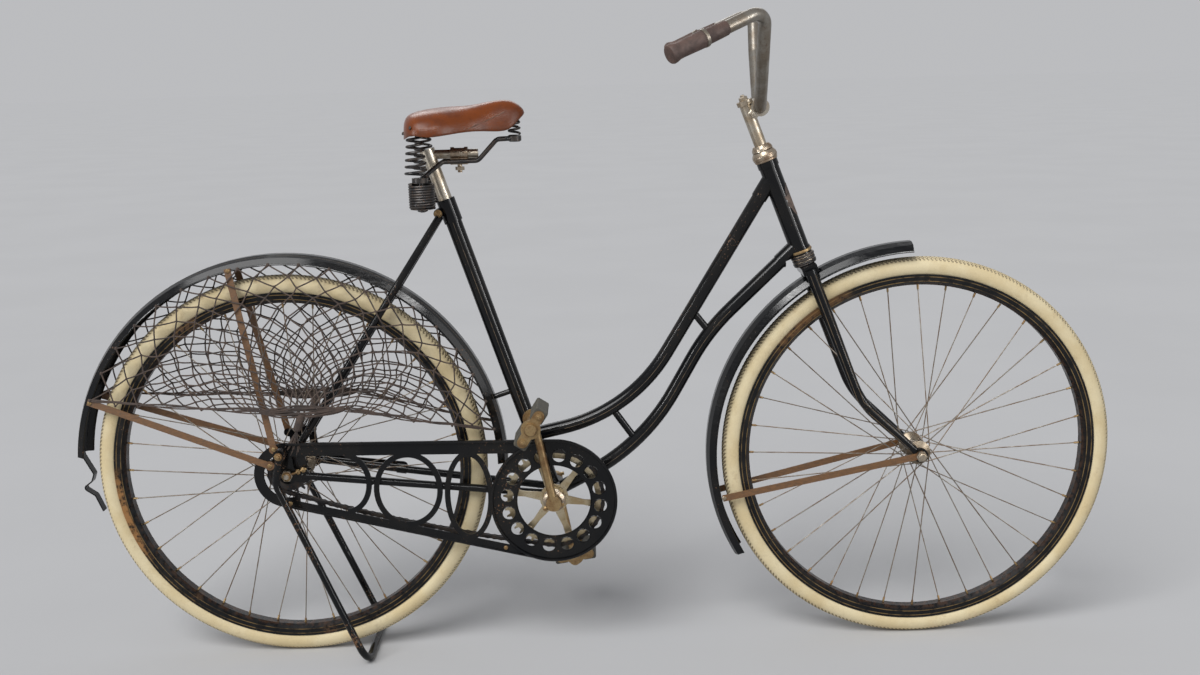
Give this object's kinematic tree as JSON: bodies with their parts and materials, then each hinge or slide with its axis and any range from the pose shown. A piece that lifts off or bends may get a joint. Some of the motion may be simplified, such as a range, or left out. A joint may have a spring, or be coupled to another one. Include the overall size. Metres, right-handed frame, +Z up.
{
  "type": "safety bicycle",
  "caption": "Step-through safety bicycle with looped frame, rod stays, block pedals, openwork chain guard, skirt nets, sprung saddle and rear stand.",
  "frame": {"origin": "floor point below the middle of the overall box, on the middle plane", "axes": "+X forward, +Y to the rider's left, +Z up"},
  "size_m": [1.8882, 0.53, 1.1521],
  "materials": {
    "black_enamel": "worn gloss black enamel with brown chips and gold lining",
    "nickel": "worn nickel plate with rust spots",
    "tan_stay": "aged tan paint",
    "dark_steel": "oily rusty steel",
    "brass": "dull rusty brass look",
    "block_rubber": "aged grooved rubber",
    "cream_tyre": "aged cream rubber",
    "leather": "worn tan leather",
    "grip": "worn brown composition",
    "string": "brown string"
  },
  "bodies": {
    "frame": {"bottom_bracket": "black_enamel", "seat_tube": "black_enamel", "head_tube": "black_enamel", "upper_tube": "black_enamel", "lower_tube": "black_enamel", "frame_struts": "black_enamel", "chain_stays": "black_enamel", "seat_stays": "black_enamel", "rear_ends": "black_enamel", "head_cups": "nickel", "rear_axle": "nickel", "brake_arm": "black_enamel", "chain": "dark_steel", "chain_guard": "black_enamel", "guard_bracket": "black_enamel", "rear_fender": "black_enamel", "fender_bracket": "black_enamel", "rear_fender_stays": "tan_stay", "stand_clip": "dark_steel", "skirt_nets": "string", "net_ties": "string", "seat_post": "nickel", "saddle_clamp": "nickel", "saddle_rails": "nickel", "saddle_top": "leather", "saddle_springs": "nickel"},
    "fork": {"fork_crown": "black_enamel", "fork_blades": "black_enamel", "front_axle": "nickel", "front_fender": "black_enamel", "front_fender_stays": "tan_stay", "stem": "nickel", "handlebar": "nickel", "grips": "grip", "head_nut": "nickel"},
    "front_wheel": {"front_tyre": "cream_tyre", "front_rim": "black_enamel", "front_spokes": "nickel", "front_hub": "nickel"},
    "rear_wheel": {"rear_tyre": "cream_tyre", "rear_rim": "black_enamel", "rear_spokes": "nickel", "rear_hub": "nickel"},
    "driver": {"cog": "nickel"},
    "crank_set": {"chain_wheel": "nickel", "crank_spindle": "nickel", "cranks": "nickel", "pedal_axles": "nickel"},
    "right_pedal": {"right_pedal_cage": "brass", "right_pedal_blocks": "block_rubber"},
    "left_pedal": {"left_pedal_cage": "brass", "left_pedal_blocks": "block_rubber"},
    "stand": {"stand": "black_enamel"}
  },
  "joints": [
    {"name": "steering", "type": "hinge", "parent": "frame", "child": "fork", "pos_m": [0.3813, 0, 0.72062], "axis": [-0.3502, 0, 0.9367], "range_deg": [-75, 75]},
    {"name": "front_wheel_spin", "type": "hinge", "parent": "fork", "child": "front_wheel", "pos_m": [0.589, 0, 0.355], "axis": [0, 1, 0], "continuous": true},
    {"name": "rear_wheel_spin", "type": "hinge", "parent": "frame", "child": "rear_wheel", "pos_m": [-0.551, 0, 0.355], "axis": [0, 1, 0], "continuous": true},
    {"name": "crank_spin", "type": "hinge", "parent": "frame", "child": "crank_set", "pos_m": [-0.075, 0, 0.293], "axis": [0, 1, 0], "continuous": true},
    {"name": "driver_spin", "type": "hinge", "parent": "frame", "child": "driver", "pos_m": [-0.551, 0, 0.355], "axis": [0, 1, 0], "continuous": true},
    {"name": "right_pedal_spin", "type": "hinge", "parent": "crank_set", "child": "right_pedal", "pos_m": [-0.10705, -0.13, 0.45486], "axis": [0, 1, 0], "continuous": true},
    {"name": "left_pedal_spin", "type": "hinge", "parent": "crank_set", "child": "left_pedal", "pos_m": [-0.04295, 0.13, 0.13114], "axis": [0, 1, 0], "continuous": true},
    {"name": "stand_swing", "type": "hinge", "parent": "frame", "child": "stand", "pos_m": [-0.5565, 0, 0.4], "axis": [0, 1, 0], "range_deg": [0, 103]}
  ],
  "couplings": [
    {"joint": "driver_spin", "follows": "crank_spin", "ratio": 2.4444}
  ]
}
